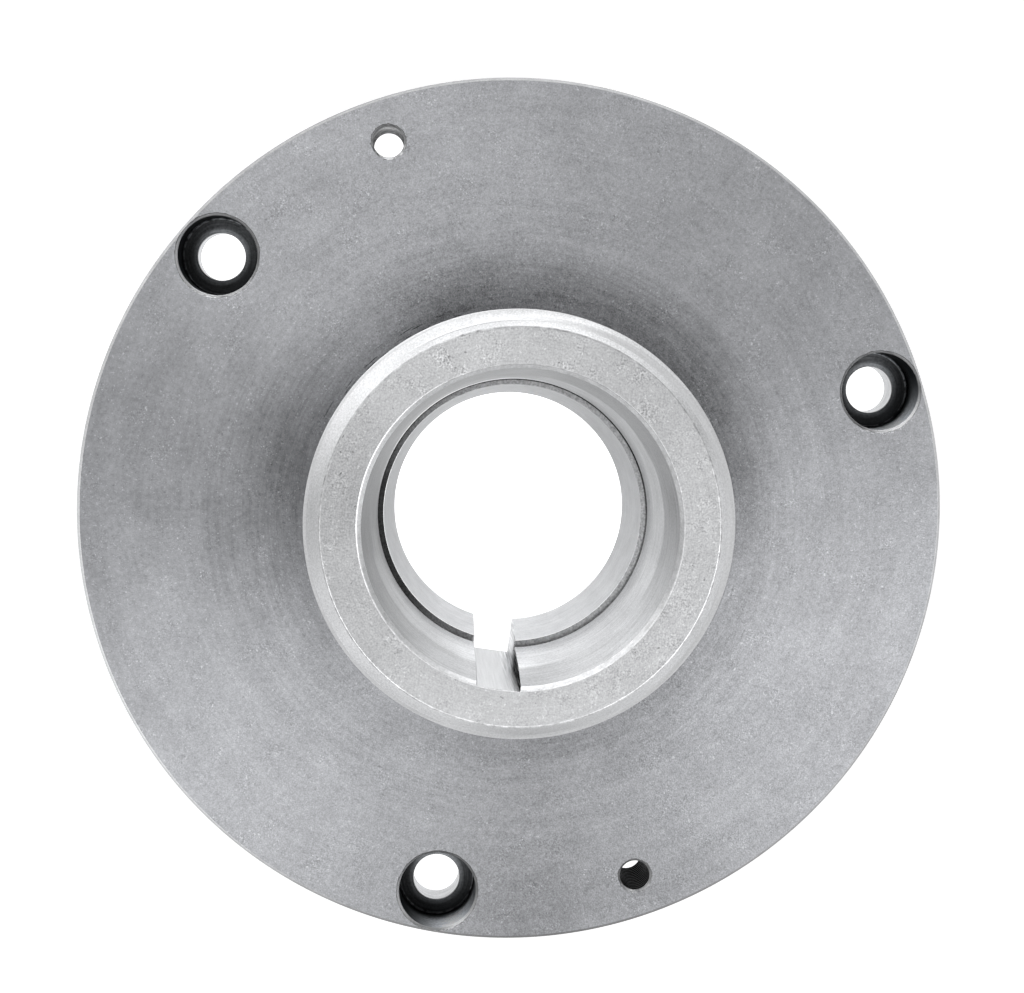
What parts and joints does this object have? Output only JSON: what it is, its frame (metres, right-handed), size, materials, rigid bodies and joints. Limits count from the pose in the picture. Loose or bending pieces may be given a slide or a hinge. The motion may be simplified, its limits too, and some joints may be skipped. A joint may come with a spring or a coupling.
{
  "type": "chuck adapter plate",
  "caption": "Round steel adapter plate that joins a lathe chuck to a key-drive long-taper spindle nose: flange with counterbored screw holes, threaded hub, tapered bore with keyway.",
  "frame": {"origin": "on the axis, in the plane of the register spigot's end face, which the plate rests on", "axes": "+Z along the axis towards the hub's end face, with the keyway at -Y"},
  "size_m": [0.2, 0.2, 0.0508],
  "materials": {
    "turned_steel": "turned and ground, satin"
  },
  "bodies": {
    "root": {"adapter_plate": "turned_steel"}
  },
  "joints": []
}
